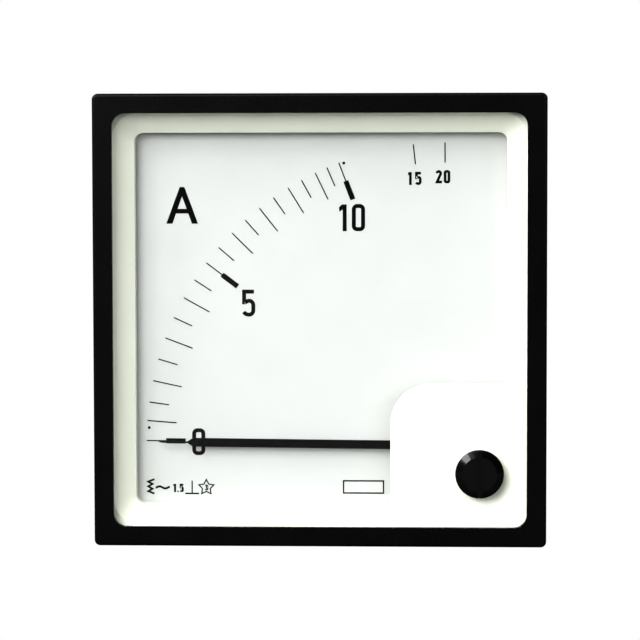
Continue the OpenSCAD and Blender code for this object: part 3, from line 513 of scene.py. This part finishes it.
def threaded_stud(x, z, index):
    """M5 stud along Y: hexagon head inside the case, then a helical thread to a chamfered end."""
    low_corner, high_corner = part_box("terminal_studs")
    head_low, stud_end = low_corner.y, high_corner.y
    across_flats = high_corner.z - low_corner.z
    radius, pitch, depth, chamfer, head = 2.5 * MM, 0.8 * MM, 0.43 * MM, 0.6 * MM, 3.0 * MM
    flank = 2.4  # steepness of the groove's flanks
    head_end = head_low + head
    around, per_turn = 40, 10
    rows = int((stud_end - head_end) / pitch * per_turn)
    mesh = bmesh.new()
    rings = []
    for row in range(rows + 1):
        y = head_end + (stud_end - head_end) * row / rows
        ring = []
        for i in range(around):
            angle = 2 * math.pi * i / around
            phase = ((y - head_end) / pitch - i / around) % 1.0
            cut = max(0.0, 1.0 - abs(phase - 0.5) * flank)
            reach = min(radius - depth * cut, radius - chamfer + (stud_end - y))
            across, up = reach * math.cos(angle), reach * math.sin(angle)
            ring.append(mesh.verts.new((x + across, y, z + up)))
        rings.append(ring)
    for low, high in zip(rings, rings[1:]):
        for i in range(around):
            j = (i + 1) % around
            mesh.faces.new((low[i], low[j], high[j], high[i]))
    mesh.faces.new(rings[-1])
    mesh.faces.new(rings[0][::-1])
    for face in mesh.faces:
        face.smooth = len(face.verts) == 4
    corner = across_flats / 2 / math.cos(math.radians(30))
    head_place = Matrix.Translation((x, (head_low + head_end) / 2, z))
    bmesh.ops.create_cone(
        mesh,
        cap_ends=True,
        segments=6,
        radius1=corner,
        radius2=corner,
        depth=head_end - head_low,
        matrix=head_place @ Euler((math.pi / 2, 0, 0)).to_matrix().to_4x4(),
    )
    bmesh.ops.recalc_face_normals(mesh, faces=mesh.faces)
    data = bpy.data.meshes.new(f"threaded_stud_{index}")
    mesh.to_mesh(data)
    mesh.free()
    data.materials.append(MATERIALS["brass"])
    piece = bpy.data.objects.new(data.name, data)
    bpy.context.scene.collection.objects.link(piece)
    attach(piece, "housing")
    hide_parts("terminal_studs")


def threaded_studs():
    """Both studs, each in the middle of its terminal plate."""
    plate_half = 5 * MM
    low_corner, high_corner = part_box("terminal_studs")
    stud_z = ((low_corner + high_corner) / 2).z
    stud_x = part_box("terminal_plates")[1].x - plate_half
    for index, side in enumerate((-1, 1)):
        threaded_stud(side * stud_x, stud_z, index)


# ---- Floor, light and camera ----


def seen_white(tree, shader, output):
    """Shows a surface or the world as white to the camera, and as its shader to other rays."""
    nodes, links = tree.nodes, tree.links
    kinds = ("LightPath", "Emission", "MixShader")
    path, white, mix = (nodes.new("ShaderNode" + kind) for kind in kinds)
    white.inputs["Color"].default_value = (1, 1, 1, 1)
    links.new(path.outputs["Is Camera Ray"], mix.inputs[0])
    links.new(shader.outputs[0], mix.inputs[1])
    links.new(white.outputs[0], mix.inputs[2])
    links.new(mix.outputs[0], output.inputs["Surface"])


def floor():
    """White sweep under the meter, wide enough that its far edge is never seen."""
    bpy.ops.mesh.primitive_plane_add(size=60, location=(0, 0, FLOOR_Z))
    plane = bpy.context.object
    plane.name = "floor"
    paint = Paint("floor_paper", Base_Color=(0.06, 0.06, 0.06), Roughness=0.8)
    seen_white(paint.material.node_tree, paint.shader, paint.output)
    plane.data.materials.append(paint.material)


def backdrop():
    """Dim cool surroundings, white where the camera looks past the meter."""
    world = bpy.data.worlds.new("studio")
    bpy.context.scene.world = world
    world.use_nodes = True
    nodes = world.node_tree.nodes
    nodes.clear()
    output = nodes.new("ShaderNodeOutputWorld")
    light = nodes.new("ShaderNodeBackground")
    light.inputs["Color"].default_value = (0.9, 0.97, 1.0, 1)
    light.inputs["Strength"].default_value = 0.04
    seen_white(world.node_tree, light, output)


def from_angles(distance, azimuth, elevation):
    """A point at a distance from the middle: azimuth to the right of the front, elevation up."""
    a, e = math.radians(azimuth), math.radians(elevation)
    flat = distance * math.cos(e)
    return Vector((flat * math.sin(a), -flat * math.cos(a), distance * math.sin(e)))


def area_light(name, azimuth, elevation, size, watts, distance=1.5):
    """White rectangular lamp that faces the middle of the meter; its size is width and height."""
    data = bpy.data.lights.new(name, "AREA")
    data.shape = "RECTANGLE"
    data.size, data.size_y = size
    data.energy = watts
    lamp = bpy.data.objects.new(name, data)
    bpy.context.scene.collection.objects.link(lamp)
    lamp.location = from_angles(distance, azimuth, elevation)
    lamp.rotation_euler = (-lamp.location).to_track_quat("-Z", "Y").to_euler()


def studio_lights():
    """Soft light from the upper left, a rim light further round, a weak fill, and two behind."""
    area_light("key", -25, 25, (0.95, 0.95), 31)
    area_light("side", -50, 18, (0.9, 0.9), 6)
    area_light("top", -14, 52, (1.1, 0.7), 7.5)
    area_light("rim", -68, 43, (0.55, 0.55), 13)
    area_light("fill", 32, 12, (0.8, 0.5), 5.5)
    area_light("back_left", -140, 35, (0.8, 0.8), 16, distance=1.2)
    area_light("back_right", 130, 45, (0.8, 0.8), 10, distance=1.2)


def camera():
    data = bpy.data.cameras.new("camera")
    data.sensor_width = SENSOR_WIDTH
    data.lens = CAMERA_LENS
    view = bpy.data.objects.new("camera", data)
    bpy.context.scene.collection.objects.link(view)
    view.location = CAMERA_TARGET + from_angles(CAMERA_DISTANCE, CAMERA_AZIMUTH, CAMERA_ELEVATION)
    turn = (CAMERA_TARGET - view.location).to_track_quat("-Z", "Y")
    roll = Euler((0, 0, math.radians(CAMERA_ROLL))).to_quaternion()
    view.rotation_euler = (turn @ roll).to_euler()
    bpy.context.scene.camera = view


dress_cad_nodes()
scale_numbers()
unit_letter()
dial_symbols()
blank_box()
threaded_studs()
floor()
backdrop()
studio_lights()
camera()
bpy.context.scene.view_settings.view_transform = "Standard"
bpy.context.scene.view_settings.gamma = 0.85
